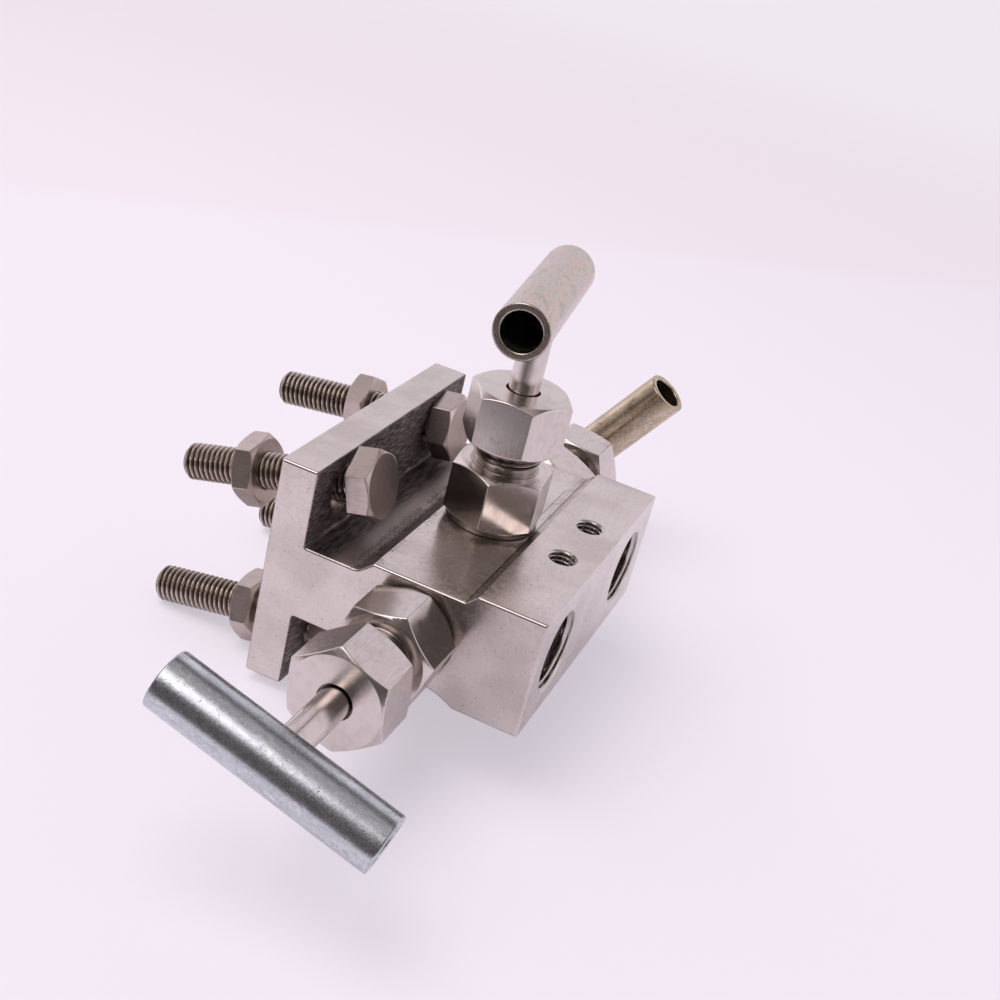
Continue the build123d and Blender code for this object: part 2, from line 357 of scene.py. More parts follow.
class Paint(Nodes):
    """The node tree of one finish, read in Object coordinates."""

    def __init__(self, name: str) -> None:
        """Makes an empty material.

        Args:
            name: The material's name.
        """
        self.material = bpy.data.materials.new(name)
        self.material.use_nodes = True
        super().__init__(self.material.node_tree)
        self.place = self.value("ShaderNodeTexCoord", output="Object")

    def lay(self, direction: Vector, draw: float) -> Value:
        """Object coordinates drawn out along a direction, so that patterns run along it.

        Args:
            direction: The way the tool marks run.
            draw: How many times longer a mark is than wide.

        Returns:
            The stretched coordinates.
        """
        along = tuple(direction.normalized())
        distance = self.vector("DOT_PRODUCT", self.place, along, output="Value")
        return self.vector("SUBTRACT", self.place, self.scaled(along, distance * (1.0 - 1.0 / draw)))

    def noise(self, size: float, detail: float = 2.0, at: Value | None = None, shift: float = 0.0) -> Value:
        """A cloudy pattern.

        Args:
            size: The width of one cloud, in metres.
            detail: How many finer layers it has.
            at: The coordinates, or None for Object coordinates.
            shift: An offset that makes a pattern unlike another of the same size.

        Returns:
            A value about 0.5, mostly between 0.3 and 0.7.
        """
        where = at or self.place
        if shift:
            where = self.vector("ADD", where, (shift, shift, shift))
        sockets = {"Vector": where, "Scale": 1.0 / size, "Detail": detail}
        return self.value("ShaderNodeTexNoise", None, sockets, "Fac")

    def ramped(self, share: Value, stops: Sequence[tuple[float, Colour]]) -> Value:
        """The colour that a ramp with these stops has at a share of its length."""
        return self.value("ShaderNodeValToRGB", {"stops": stops}, {"Fac": share}, "Color")

    def about(self, axle: Axle) -> tuple[Value, Value]:
        """Measures from a line.

        Args:
            axle: The line.

        Returns:
            The place along it, counted from its centre, and the distance from it.
        """
        direction = tuple(axle.direction)
        offset = self.vector("SUBTRACT", self.place, tuple(axle.centre))
        along = self.vector("DOT_PRODUCT", offset, direction, output="Value")
        away = self.vector("CROSS_PRODUCT", offset, direction)
        return along, self.vector("LENGTH", away, output="Value")

    def groove(self) -> Value:
        """How deep a point lies in a thread, 0 to 1."""
        return self.value("ShaderNodeAttribute", {"attribute_name": GROOVE}, None, "Fac")

    def relief(self, height: Value, depth: float, under: Value | None = None) -> Value:
        """A bump.

        Args:
            height: The relief, 0 to 1.
            depth: Its depth, in metres.
            under: The normal of a coarser bump below it.

        Returns:
            The bent normal.
        """
        sockets = {"Height": height, "Distance": depth}
        if under is not None:
            sockets["Normal"] = under
        return self.value("ShaderNodeBump", None, sockets, "Normal")

    def finish(self, base: Value, roughness: Value, normal: Value, metallic: Any = 1.0) -> Material:
        """Adds the surface shader and the output.

        Args:
            base: The colour.
            roughness: The roughness.
            normal: The bent normal.
            metallic: How metallic the surface is.

        Returns:
            The finished material.
        """
        sockets = {"Base Color": base, "Roughness": roughness, "Metallic": metallic, "Normal": normal}
        shader = self.add("ShaderNodeBsdfPrincipled", None, sockets)
        self.add("ShaderNodeOutputMaterial", None, {"Surface": shader.outputs["BSDF"]})
        return self.material


# ---- finishes


@dataclass(frozen=True)
class MilledSteel:
    """Satin stainless steel with cutter marks: clean on the outer faces, dark and pitted in the pockets.

    Its places are the block's: counted along from the mating face, and up and across from the middle.
    """

    name: str = "milled_stainless"
    bright: Colour = (0.71, 0.655, 0.620)
    dull: Colour = (0.53, 0.475, 0.440)
    tarnish: Colour = (0.080, 0.066, 0.062)
    grey: Colour = (0.42, 0.370, 0.355)
    burnt: Colour = (0.34, 0.26, 0.21)
    pit: Colour = (0.040, 0.032, 0.030)
    lay: Vector = Vector((0.0, 1.0, 0.0))
    nick_lay: Vector = Vector((0.3, 0.5, 0.8))
    flange_back: float = 10.0 * MM
    flange_top: float = 30.6 * MM
    pocket_floor: float = 10.0 * MM
    pocket_foot: float = 24.8 * MM
    web_start: float = 28.6 * MM
    climb_foot: float = 53.3 * MM
    end_face: float = 44.5 * MM
    valve_place: float = 41.0 * MM
    collar_radius: float = 11.8 * MM
    dotted_line: float = 51.0 * MM
    dot_spacing: float = 1.15 * MM
    dots_from: float = 7.0 * MM
    dots_to: float = 33.0 * MM

    def material(self) -> Material:
        """Builds the material.

        Returns:
            The material.
        """
        paint = Paint(self.name)
        along, across, up = paint.parts(paint.place)
        height, width = up.call("ABSOLUTE"), across.call("ABSOLUTE")
        rear, foot, floor = self.flange_back, self.pocket_foot, self.pocket_floor
        inside = width.ramp(self.end_face - 0.10 * MM, self.end_face - 0.35 * MM)
        on_top = height.ramp(floor - 0.5 * MM, floor - 0.2 * MM) * inside
        back = along.band(rear - 0.6 * MM, rear - 0.1 * MM, rear + 0.1 * MM, rear + 0.9 * MM)
        back = back * height.ramp(self.flange_top, self.flange_top - 0.4 * MM) * inside
        pocket = along.band(rear - 0.5 * MM, rear, foot, self.web_start + 0.6 * MM)
        pocket = pocket * height.ramp(floor - 1.2 * MM, floor - 0.4 * MM) * inside
        deep = pocket * along.ramp(foot - 4.5 * MM, foot - 9.0 * MM)
        near_foot = along.off(foot + 1.0 * MM).ramp(6.5 * MM, 1.0 * MM) * on_top
        foot_row = along.off(foot - 1.2 * MM).ramp(2.2 * MM, 0.8 * MM) * pocket
        # Painted shade: a thin dark line in the crease at the foot of the climb to the port block.
        crease_shade = along.off(self.climb_foot).ramp(0.35 * MM, 0.10 * MM) * on_top
        smear = along.off(self.climb_foot).ramp(4.0 * MM, 0.5 * MM) * on_top
        beside = along - self.valve_place
        # Painted contact shadow, with some dirt, in a ring round each bonnet's collar where it meets the
        # block.
        collar_shade_and_dirt = self._seam(beside, up) + self._seam(beside, across) * (up > 0.0)
        dots = self._dots(along, across) * on_top

        marks = paint.noise(0.16 * MM, 3.0, paint.lay(self.lay, 30.0))
        chatter = paint.noise(0.9 * MM, 4.0, paint.lay(self.lay, 6.0), shift=0.2)
        streaks = paint.noise(0.34 * MM, 4.0, paint.lay(self.lay, 11.0), shift=0.5)
        hand = paint.noise(1.6 * MM, 3.0)
        broad = paint.noise(13 * MM, 2.0, shift=0.3)
        drips = paint.noise(4.5 * MM, 3.0, shift=0.7)
        grains = paint.noise(0.40 * MM, 2.0, shift=0.9)
        crowded = drips.ramp(0.36, 0.56) * (smear * 0.45 + near_foot) + foot_row * drips.ramp(0.30, 0.50)
        pits = (grains + crowded.clamped() * 0.19).ramp(0.700, 0.745)
        nicks = paint.noise(0.55 * MM, 2.0, paint.lay(self.nick_lay, 2.5), shift=1.3)
        nicks = (nicks + (drips - 0.5) * 0.30).ramp(0.745, 0.775)

        shade = paint.coats(
            self.bright,
            (broad.ramp(0.34, 0.70) * 0.65, self.dull),
            (marks.ramp(0.35, 0.75) * 0.28, self.dull),
            (smear * drips.ramp(0.44, 0.64) * 0.45, self.burnt),
            (pocket * 0.85, self.grey),
            (deep * (chatter.ramp(0.62, 0.38) * 0.45 + 0.50), self.tarnish),
            (back * 0.85, self.grey),
            (back * streaks.ramp(0.58, 0.46) * 0.92, self.tarnish),
            (near_foot * drips.ramp(0.46, 0.66) * 0.45, self.burnt),
            ((pits + nicks + dots * 0.9).clamped() * 0.9, self.pit),
            # Painted shade in the pit colour: the port and bracket thread grooves, the crease at the climb
            # and the rings round the collars.
            ((paint.groove() * 0.5 + crease_shade * 0.8 + collar_shade_and_dirt * 0.75).clamped(), self.pit),
        )
        worn = pits + dots
        rough = hand.ramp(0.3, 0.7) * 0.08 + marks * 0.12 + 0.14
        rough = rough + worn * 0.3 + pocket * 0.24 + back * 0.14 + collar_shade_and_dirt * 0.2
        normal = paint.relief(hand, 0.010 * MM)
        normal = paint.relief(chatter * (pocket + 0.05) + streaks * back, 0.060 * MM, normal)
        normal = paint.relief(marks - worn * 2.0 - nicks * 2.0, 0.010 * MM, normal)
        return paint.finish(shade, rough, normal)

    def _seam(self, one: Value, other: Value) -> Value:
        """A painted contact shadow, with dirt, round a bonnet's collar, from the two distances across its
        axis.
        """
        away = (one * one + other * other).call("SQRT")
        return away.ramp(self.collar_radius + 0.75 * MM, self.collar_radius + 0.15 * MM)

    def _dots(self, along: Value, across: Value) -> Value:
        """The row of small pits beside the climb to the port block.

        Args:
            along: The place along the block.
            across: The place across it.

        Returns:
            1 in a pit, else 0.
        """
        step = (across / self.dot_spacing).call("FRACT") - 0.5
        drift = (along - self.dotted_line) / self.dot_spacing
        first, last = self.dots_from, self.dots_to
        dots = (step * step + drift * drift).call("SQRT").ramp(0.27, 0.17)
        return dots * across.band(first, first + 2.0 * MM, last - 3.0 * MM, last)


@dataclass(frozen=True)
class TurnedSteel:
    """Stainless steel off the lathe: rings on ends and round faces, drawn lines on the hexagon's flats.

    The flats start at a radius, which by default lies beyond any round part. A darker tone covers what is
    within a radius of the axis, and painted shade darkens what lies below a place along it.
    """

    name: str
    axle: Axle
    flats_from: float = 20.0 * MM
    gloss: float = 0.12
    stained_within: float = 0.0
    stained_below: float = -1.0
    # The colour of the darker neck, and of the painted shade at the bonnet's foot.
    stain: Colour = (0.15, 0.122, 0.108)
    bright: Colour = (0.69, 0.635, 0.600)
    dull: Colour = (0.45, 0.400, 0.370)
    pit: Colour = (0.09, 0.07, 0.06)

    def material(self) -> Material:
        """Builds the material.

        Returns:
            The material.
        """
        paint = Paint(self.name)
        along, radius = paint.about(self.axle)
        flat = radius.ramp(self.flats_from - 0.1 * MM, self.flats_from + 0.1 * MM)
        rings_at = paint.value("ShaderNodeCombineXYZ", None, {"X": radius, "Y": along * (1.0 - flat)})
        rings = paint.noise(0.06 * MM, 2.0, rings_at)
        drawn = paint.noise(0.11 * MM, 2.0, paint.lay(self.axle.direction, 40.0))
        marks = rings + (drawn - rings) * flat
        cloud = paint.noise(2.6 * MM, 3.0, shift=0.4)
        pits = paint.noise(0.34 * MM, 2.0, shift=0.2).ramp(0.74, 0.79)
        neck = radius.ramp(self.stained_within + 0.3 * MM, self.stained_within + 0.1 * MM)
        # Painted shade, a dark reflection, below the top of the bonnet's collar.
        foot = along.ramp(self.stained_below + 0.1 * MM, self.stained_below - 0.3 * MM)
        shade = paint.coats(
            self.bright,
            (marks.ramp(0.40, 0.70) * (flat * 0.30 + 0.15), self.dull),
            (cloud.ramp(0.45, 0.75) * 0.22, self.dull),
            # A darker tone on the neck; below the collar's top this colour is painted shade.
            ((neck * 0.50 + foot * 0.65).clamped(), self.stain),
            (pits * 0.7, self.pit),
            # Painted shade in the bonnet's thread grooves, in the pit colour.
            (paint.groove() * 0.85, self.pit),
        )
        rough = marks * 0.10 + cloud.ramp(0.4, 0.7) * 0.05 + self.gloss + pits * 0.3
        normal = paint.relief(cloud, 0.005 * MM)
        normal = paint.relief(marks * (flat * 0.7 + 0.3) - pits, 0.006 * MM, normal)
        return paint.finish(shade, rough, normal)

    @classmethod
    def rolled(cls, name: str, axle: Axle) -> "TurnedSteel":
        """The duller steel of the flange's nuts and bolt heads."""
        tones = {"bright": (0.60, 0.525, 0.490), "dull": (0.33, 0.275, 0.250)}
        return cls(name, axle, flats_from=8.2 * MM, gloss=0.24, **tones)


@dataclass(frozen=True)
class ThreadSteel:
    """Bolt steel: a painted highlight on the thread crests over painted shade in the grooves."""

    name: str
    crest: Colour = (0.66, 0.60, 0.53)
    flank: Colour = (0.30, 0.25, 0.215)
    root: Colour = (0.075, 0.055, 0.045)

    def material(self) -> Material:
        """Builds the material.

        Returns:
            The material.
        """
        paint = Paint(self.name)
        grain = paint.noise(0.25 * MM, 3.0)
        stain = paint.noise(3.5 * MM, 3.0, shift=0.5)
        # Painted light: by its depth in the thread, each point runs from the painted highlight on the crests
        # to the painted shade in the roots, with cloudy variation.
        worn = (paint.groove() + (grain - 0.5) * 0.35 + (stain - 0.5) * 0.30).clamped()
        shade = paint.ramped(worn, [(0.0, self.crest), (0.42, self.flank), (0.95, self.root)])
        rough = worn * 0.22 + grain * 0.14 + 0.17
        normal = paint.relief(grain, 0.010 * MM)
        return paint.finish(shade, rough, normal)


@dataclass(frozen=True)
class Plating:
    """How a handle's zinc was passivated: its stops of colour, its spangle and how blotched it is."""

    slot: str
    tints: tuple[Colour, ...]
    speckle: float = 0.15
    mottle: float = 2.0


@dataclass(frozen=True)
class ZincPlate:
    """Electroplated zinc on drawn tube: lengthwise scratches, fine spangle and small pits."""

    name: str
    axle: Axle
    plating: Plating
    pit: Colour = (0.16, 0.12, 0.09)
    spangle: Colour = (0.80, 0.80, 0.84)
    soot: Colour = (0.030, 0.026, 0.026)
    gloss: float = 0.09
    bore: float = 5.0 * MM
    half_length: float = 28.5 * MM
    first_stop: float = 0.18
    last_stop: float = 0.82

    def material(self) -> Material:
        """Builds the material.

        Returns:
            The material.
        """
        paint = Paint(self.name)
        lay = self.axle.direction
        along, radius = paint.about(self.axle)
        depth = along.call("ABSOLUTE").ramp(self.half_length - 1.0 * MM, self.half_length - 5.0 * MM)
        inside = radius.ramp(self.bore + 0.6 * MM, self.bore + 0.2 * MM) * depth
        drift = paint.noise(5.5 * MM, 3.0, paint.lay(lay, 1.8))
        blotch = paint.noise(0.9 * MM, 4.0, paint.lay(lay, 1.5), shift=0.6)
        mottle = ((drift - 0.5) * self.plating.mottle + (blotch - 0.5) * 0.9 + 0.5).clamped()
        places = np.linspace(self.first_stop, self.last_stop, len(self.plating.tints))
        scratches = paint.noise(0.20 * MM, 2.0, paint.lay(lay, 26.0))
        grit = paint.noise(0.36 * MM, 2.0, shift=0.1)
        pits = paint.noise(0.50 * MM, 2.0, shift=0.8).ramp(0.665, 0.725)
        shade = paint.coats(
            paint.ramped(mottle, list(zip(places, self.plating.tints))),
            (grit.ramp(0.56, 0.66) * self.plating.speckle, self.spangle),
            (scratches.ramp(0.60, 0.70) * 0.35, self.pit),
            (pits * 0.8, self.pit),
            (inside * 0.9, self.soot),
        )
        rough = grit * 0.20 + scratches * 0.12 + self.gloss + pits * 0.25 + inside * 0.2
        normal = paint.relief(blotch, 0.012 * MM)
        normal = paint.relief(grit * 0.6 + scratches * 0.6 - pits, 0.010 * MM, normal)
        return paint.finish(shade, rough, normal)


@dataclass(frozen=True)
class PackingRing:
    """Pressed fluoropolymer packing: off-white, matt and faintly fibrous."""

    name: str
    pale: Colour = (0.78, 0.77, 0.74)
    soiled: Colour = (0.55, 0.53, 0.49)

    def material(self) -> Material:
        """Builds the material.

        Returns:
            The material.
        """
        paint = Paint(self.name)
        fibre = paint.noise(0.3 * MM, 4.0)
        soil = paint.noise(2.5 * MM, 2.0, shift=0.3)
        shade = paint.mix(soil.ramp(0.4, 0.7), self.pale, self.soiled)
        rough = fibre * 0.3 + 0.45
        return paint.finish(shade, rough, paint.relief(fibre, 0.03 * MM), 0.0)


# ---- thread cutting


class ThreadTool:
    """The cutter that threads are made with: a ring with one plain wall and one screwed wall.

    The ring is a torus-like grid that Geometry Nodes lay out. Row by row its screwed wall climbs from
    z = 0 to the length, and the last three rows close it over the plain wall.
    """

    RADII = ("Ridge Radius", "Valley Radius", "Plain Radius", "Blend Radius")
    SIZES = ("Length", "Pitch", "Blend", "Taper", *RADII)
    COLUMNS = 64
    ROWS_PER_TURN = 12
    LAND = 0.14
    WELD = 0.001 * MM

    def __init__(self) -> None:
        """Builds the node tree once."""
        tree = bpy.data.node_groups.new("thread_tool", "GeometryNodeTree")
        self.tree = tree
        self.keys: dict[str, str] = {}
        nodes = Nodes(tree)
        tree.interface.new_socket("Geometry", in_out="OUTPUT", socket_type="NodeSocketGeometry")
        self._input("Rows", "NodeSocketInt")
        for name in self.SIZES:
            self._input(name, "NodeSocketFloat")
        self._input("Material", "NodeSocketMaterial")
        given = nodes.add("NodeGroupInput")
        sizes = {key: Value(nodes, given.outputs[key]) for key in ("Rows", *self.SIZES)}
        rows = {"Vertices X": self.COLUMNS + 1, "Vertices Y": sizes["Rows"] + 4.0}
        grid = nodes.add("GeometryNodeMeshGrid", None, {"Size X": 1.0, "Size Y": 1.0, **rows})
        across, up, _ = nodes.parts(nodes.value("GeometryNodeInputPosition"))
        place = self._place(nodes, sizes, across + 0.5, up + 0.5)
        shape = grid.outputs["Mesh"]
        for kind, extra in (
            ("GeometryNodeSetPosition", {"Position": place}),
            ("GeometryNodeMergeByDistance", {"Distance": self.WELD}),
            ("GeometryNodeRealizeInstances", {}),
            ("GeometryNodeSetMaterial", {"Material": given.outputs["Material"]}),
        ):
            shape = nodes.add(kind, None, {"Geometry": shape, **extra}).outputs[0]
        nodes.add("NodeGroupOutput", None, {0: shape})

    def _input(self, name: str, kind: str) -> None:
        """Adds a named input and notes its identifier."""
        item = self.tree.interface.new_socket(name, in_out="INPUT", socket_type=kind)
        self.keys[name] = item.identifier

    def _place(self, nodes: Nodes, sizes: dict[str, Value], turn: Value, climb: Value) -> Value:
        """Where each vertex of the grid goes.

        Args:
            nodes: The tree.
            sizes: The tree's inputs.
            turn: The vertex's share of a whole turn.
            climb: Its share of all the rows.

        Returns:
            The vertex's place on the ring.
        """
        rows = sizes["Rows"]
        row = (climb * (rows + 3.0)).call("ROUND")
        length, pitch = sizes["Length"], sizes["Pitch"]
        height = (row / rows).call("MINIMUM", 1.0) * length * (row < rows + 1.5)
        plain = (row > rows + 0.5) * (row < rows + 2.5)
        wave = ((height / pitch - turn).call("FRACT") * 2.0 - 1.0).call("ABSOLUTE")
        ridge = ((wave - self.LAND) / (1.0 - 2.0 * self.LAND)).clamped()
        valley, blend = sizes["Valley Radius"], sizes["Blend Radius"]
        cut = valley + (sizes["Ridge Radius"] - valley) * ridge
        fade = ((length - height) / sizes["Blend"]).clamped()
        screwed = blend + (cut - blend) * fade - height * sizes["Taper"]
        radius = screwed + (sizes["Plain Radius"] - screwed) * plain
        angle = turn * math.tau
        place = {"X": radius * angle.call("COSINE"), "Y": radius * angle.call("SINE"), "Z": height}
        return nodes.value("ShaderNodeCombineXYZ", None, place)

    def make(self, axle: Axle, sizes: dict[str, float]) -> Object:
        """Makes one cutter.

        Args:
            axle: Where its z = 0 lies, and the way it climbs.
            sizes: A number for each of SIZES, in metres.

        Returns:
            A closed mesh object, in place.
        """
        holder = placed("thread_cutter", bpy.data.meshes.new("thread_cutter"))
        layer = holder.modifiers.new("thread", "NODES")
        layer.node_group = self.tree
        layer[self.keys["Rows"]] = round(sizes["Length"] / sizes["Pitch"] * self.ROWS_PER_TURN)
        for name in self.SIZES:
            layer[self.keys[name]] = sizes[name]
        mesh = evaluated(holder)
        holder.modifiers.clear()
        edit = bmesh.new()
        edit.from_mesh(mesh)
        bmesh.ops.transform(edit, matrix=axle.matrix(), verts=edit.verts)
        bmesh.ops.recalc_face_normals(edit, faces=edit.faces)
        edit.to_mesh(mesh)
        edit.free()
        holder.data = mesh
        return holder


def evaluated(thing: Object) -> Mesh:
    """The plain mesh that an object's modifiers make."""
    graph = bpy.context.evaluated_depsgraph_get()
    return bpy.data.meshes.new_from_object(thing.evaluated_get(graph))


# ---- workpieces


class Workpiece:
    """A copy of a CAD solid on the bench, to be edged, threaded, smoothed and handed over."""

    SHARP = math.radians(25.0)
    ROUNDED = math.radians(40.0)
    FLAT = math.radians(0.4)
    WELD = 0.002 * MM
    LEAD = 0.4 * MM  # how far before a hole's mouth a cutter starts
    CORE = 0.8  # its plain wall in a hole, as a share of the ridges' radius
    FADE = 1.5  # the pitches over which a thread in a hole runs out
    SKIM = 0.02 * MM  # what a cutter takes off a shank's crests
    CLEAR = 0.6 * MM  # how far its plain wall stands off the shank
    MARGIN = 0.05 * MM  # the slack in telling a thread's points by their radius
    MOUTH = 0.3 * MM  # how much of a hole's mouth stays clean

    def __init__(self, node: str, edge: float) -> None:
        """Copies the solid, welds it shut and rounds its sharp edges.

        Args:
            node: The CAD node that the piece stands for.
            edge: How far the rounding reaches from an edge, in metres.
        """
        self.node = node
        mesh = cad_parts[node].data.copy()
        edit = bmesh.new()
        edit.from_mesh(mesh)
        bmesh.ops.remove_doubles(edit, verts=edit.verts, dist=self.WELD)
        bmesh.ops.dissolve_limit(edit, angle_limit=self.FLAT, verts=edit.verts, edges=edit.edges)
        edit.to_mesh(mesh)
        edit.free()
        mesh.materials.clear()
        normals = mesh.attributes.get("custom_normal")
        if normals:
            mesh.attributes.remove(normals)
        self.thing = placed(f"{node}_piece", mesh)
        bevel = self.thing.modifiers.new("edges", "BEVEL")
        bevel.width = edge
        bevel.segments = 3
        bevel.limit_method = "ANGLE"
        bevel.angle_limit = self.ROUNDED
        bevel.use_clamp_overlap = False
        bevel.miter_outer = "MITER_ARC"
        self._bake()

    def _bake(self) -> None:
        """Turns the modifiers into plain mesh."""
        mesh = evaluated(self.thing)
        self.thing.modifiers.clear()
        self.thing.data = mesh

    def thread(self, tool: ThreadTool, mouth: Axle, thread: Thread, length: float) -> None:
        """Cuts a thread, in a hole if its valleys are the wider, else on a shank.

        Args:
            tool: What makes the cutter.
            mouth: Where the thread starts, and the way it goes; it runs out at its far end.
            thread: Its sizes.
            length: How far it goes, in metres.
        """
        inside = thread.valley > thread.ridge
        lead = self.LEAD if inside else 0.0
        surface = thread.ridge if inside else thread.ridge - self.SKIM
        low, high = sorted((surface, thread.valley))
        sizes = {
            "Length": length + lead,
            "Pitch": thread.pitch,
            "Ridge Radius": high,
            "Valley Radius": low,
            "Plain Radius": thread.ridge * self.CORE if inside else thread.ridge + self.CLEAR,
            "Blend Radius": surface,
            "Blend": thread.pitch * (self.FADE if inside else 1.0),
            "Taper": thread.taper,
        }
        cutter = tool.make(mouth.moved(-lead), sizes)
        away = self.thing.modifiers.new("cut", "BOOLEAN")
        away.operation = "DIFFERENCE"
        away.solver = "MANIFOLD"
        away.object = cutter
        self._bake()
        bpy.data.objects.remove(cutter)
        start, ridge = (self.MOUTH, thread.ridge) if inside else (0.0, thread.ridge - self.MARGIN)
        self._mark_groove(mouth, start, length, ridge, thread.valley)

    def _mark_groove(self, axle: Axle, start: float, end: float, ridge: float, valley: float) -> None:
        """Notes on each point how deep it lies in a thread.

        Args:
            axle: The thread's axis.
            start: Where the thread starts along the axis, in metres.
            end: Where it ends.
            ridge: The radius of the untouched surface.
            valley: The radius of the groove's bottom.
        """
        mesh = self.thing.data
        points = points_of(mesh)
        along, radius = axle.along(points), axle.radius(points)
        depth = np.clip((radius - ridge) / (valley - ridge), 0.0, 1.0)
        wide = max(ridge, valley) + self.MARGIN
        depth[(along < start) | (along > end) | (radius > wide)] = 0.0
        layer = mesh.attributes.get(GROOVE) or mesh.attributes.new(GROOVE, "FLOAT", "POINT")
        known = np.zeros(len(mesh.vertices))
        layer.data.foreach_get("value", known)
        layer.data.foreach_set("value", np.maximum(known, depth))

    def hand_over(self, name: str, body: str, slot: str, *finishes: Material) -> None:
        """Smooths the piece, dresses it and puts it in place of its CAD node.

        Args:
            name: The piece's name.
            body: The CAD body that it rides on.
            slot: The name of a material slot; not used.
            *finishes: Its materials; the faces say which.
        """
        mesh = self.thing.data
        mesh.polygons.foreach_set("use_smooth", [True] * len(mesh.polygons))
        mesh.set_sharp_from_angle(angle=self.SHARP)
        weighted = self.thing.modifiers.new("normals", "WEIGHTED_NORMAL")
        weighted.keep_sharp = True
        self._bake()
        self.thing.name = name
        self.thing.data.name = name
        self.thing.data.materials.clear()
        for finish in finishes:
            self.thing.data.materials.append(finish)
        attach(self.thing, body)
        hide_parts(self.node)
        LOG.info("%s: %d faces, for %s", name, len(self.thing.data.polygons), self.node)


# ---- sub-assemblies


class Side(Enum):
    """The three valves, by the unit vector along which each one's stem points out of the block."""

    NEAR = (0.0, -1.0, 0.0)
    FAR = (0.0, 1.0, 0.0)
    TOP = (0.0, 0.0, 1.0)

    @property
    def word(self) -> str:
        """The ending of this valve's node names."""
        return self.name.lower()


@dataclass
class PortBlock:
    """The machined block with its flange, tapered pipe threads and tapped bracket holes."""

    tool: ThreadTool
    edge: float = 0.35 * MM
    pipe: Thread = Thread(1.814 * MM, ridge=9.2 * MM, valley=10.55 * MM, taper=1.0 / 32.0)
    pipe_length: float = 15.5 * MM
    port_spacing: float = 54.0 * MM
    bracket: Thread = Thread(1.25 * MM, ridge=3.35 * MM, valley=4.0 * MM)
    bracket_length: float = 10.5 * MM
    bracket_place: float = 65.2 * MM
    bracket_spacing: float = 21.5 * MM
    bracket_top: float = 16.2 * MM

    def build(self) -> None:
        """Makes the block and puts it in the frame."""
        piece = Workpiece("manifold_body", self.edge)
        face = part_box("manifold_body")[1].x
        for sign in (-1.0, 1.0):
            port = Axle(Vector((face, sign * self.port_spacing / 2, 0.0)), Vector((-1.0, 0.0, 0.0)))
            piece.thread(self.tool, port, self.pipe, self.pipe_length)
            top = Vector((self.bracket_place, sign * self.bracket_spacing / 2, self.bracket_top))
            piece.thread(self.tool, Axle(top, Vector((0.0, 0.0, -1.0))), self.bracket, self.bracket_length)
        piece.hand_over("block", "manifold", "stainless", MilledSteel().material())


@dataclass
class ValveStation:
    """One needle valve: bonnet, cap nut, stem and bar handle, with the packing inside."""

    side: Side
    tool: ThreadTool
    plating: Plating
    neck: Thread = Thread(1.5 * MM, ridge=9.0 * MM, valley=8.15 * MM)
    thread_below_nut: float = 3.4 * MM
    thread_in_nut: float = 2.6 * MM
    neck_chamfer: float = 1.0 * MM
    bonnet_flats: float = 10.6 * MM
    nut_flats: float = 11.9 * MM
    screwed_in: float = 10.0 * MM
    collar_height: float = 1.5 * MM
    edge: float = 0.25 * MM
    rim: float = 0.30 * MM
    axle: Axle = field(init=False)

    def __post_init__(self) -> None:
        """Reads the valve's axis from the frame."""
        low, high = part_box(self._node("gland"))
        self.axle = Axle((low + high) / 2, Vector(self.side.value))

    def _node(self, kind: str) -> str:
        """The name of this valve's node of a kind."""
        return f"{kind}_{self.side.word}"

    def _along(self, node: str) -> list[float]:
        """A node's lowest and highest place along the valve's axis, from the axle's centre."""
        out = self.axle.direction
        return sorted((corner - self.axle.centre).dot(out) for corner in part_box(node))

    def build(self) -> None:
        """Makes the valve's pieces and puts them in the frame."""
        word, spindle = self.side.word, f"spindle_{self.side.word}"
        turned = TurnedSteel(
            f"turned_stainless_{word}",
            self.axle,
            self.bonnet_flats,
            stained_within=self.neck.ridge,
            stained_below=self._along(self._node("bonnet"))[0] + self.screwed_in + self.collar_height,
        ).material()
        self._bonnet(turned)
        nut = TurnedSteel(f"cap_nut_stainless_{word}", self.axle, self.nut_flats, gloss=0.17)
        stem = TurnedSteel(f"ground_stem_{word}", self.axle, gloss=0.14)
        plate = ZincPlate(f"zinc_plate_{word}", solid_axle(self._node("handle")), self.plating)
        for kind, name, body, slot, edge, finish in (
            ("cap_nut", "cap", "manifold", "stainless", self.edge, nut),
            ("stem", "spindle_rod", spindle, "stainless", self.edge, stem),
            ("handle", "bar_handle", spindle, self.plating.slot, self.rim, plate),
        ):
            Workpiece(self._node(kind), edge).hand_over(f"{name}_{word}", body, slot, finish.material())
        for kind in ("gland", "needle"):
            self._dress(self._node(kind), turned)
        self._dress(self._node("packing"), PackingRing(f"stem_packing_{word}").material())

    def _bonnet(self, finish: Material) -> None:
        """Makes the bonnet, with the thread that its cap nut runs on.

        Args:
            finish: Its material.
        """
        node = self._node("bonnet")
        nut_foot = self._along(self._node("cap_nut"))[0]
        start = nut_foot - self.thread_below_nut
        end = min(self._along(node)[1] - self.neck_chamfer, nut_foot + self.thread_in_nut)
        piece = Workpiece(node, self.edge)
        piece.thread(self.tool, self.axle.moved(start), self.neck, end - start)
        piece.hand_over(f"bonnet_{self.side.word}_threaded", "manifold", "stainless", finish)

    @staticmethod
    def _dress(node: str, finish: Material) -> None:
        """Gives a CAD node that stays as it is its material.

        Args:
            node: The CAD node.
            finish: The material.
        """
        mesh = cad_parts[node].data
        mesh.materials.clear()
        mesh.materials.append(finish)
        LOG.info("%s: kept, in %s", node, finish.name)


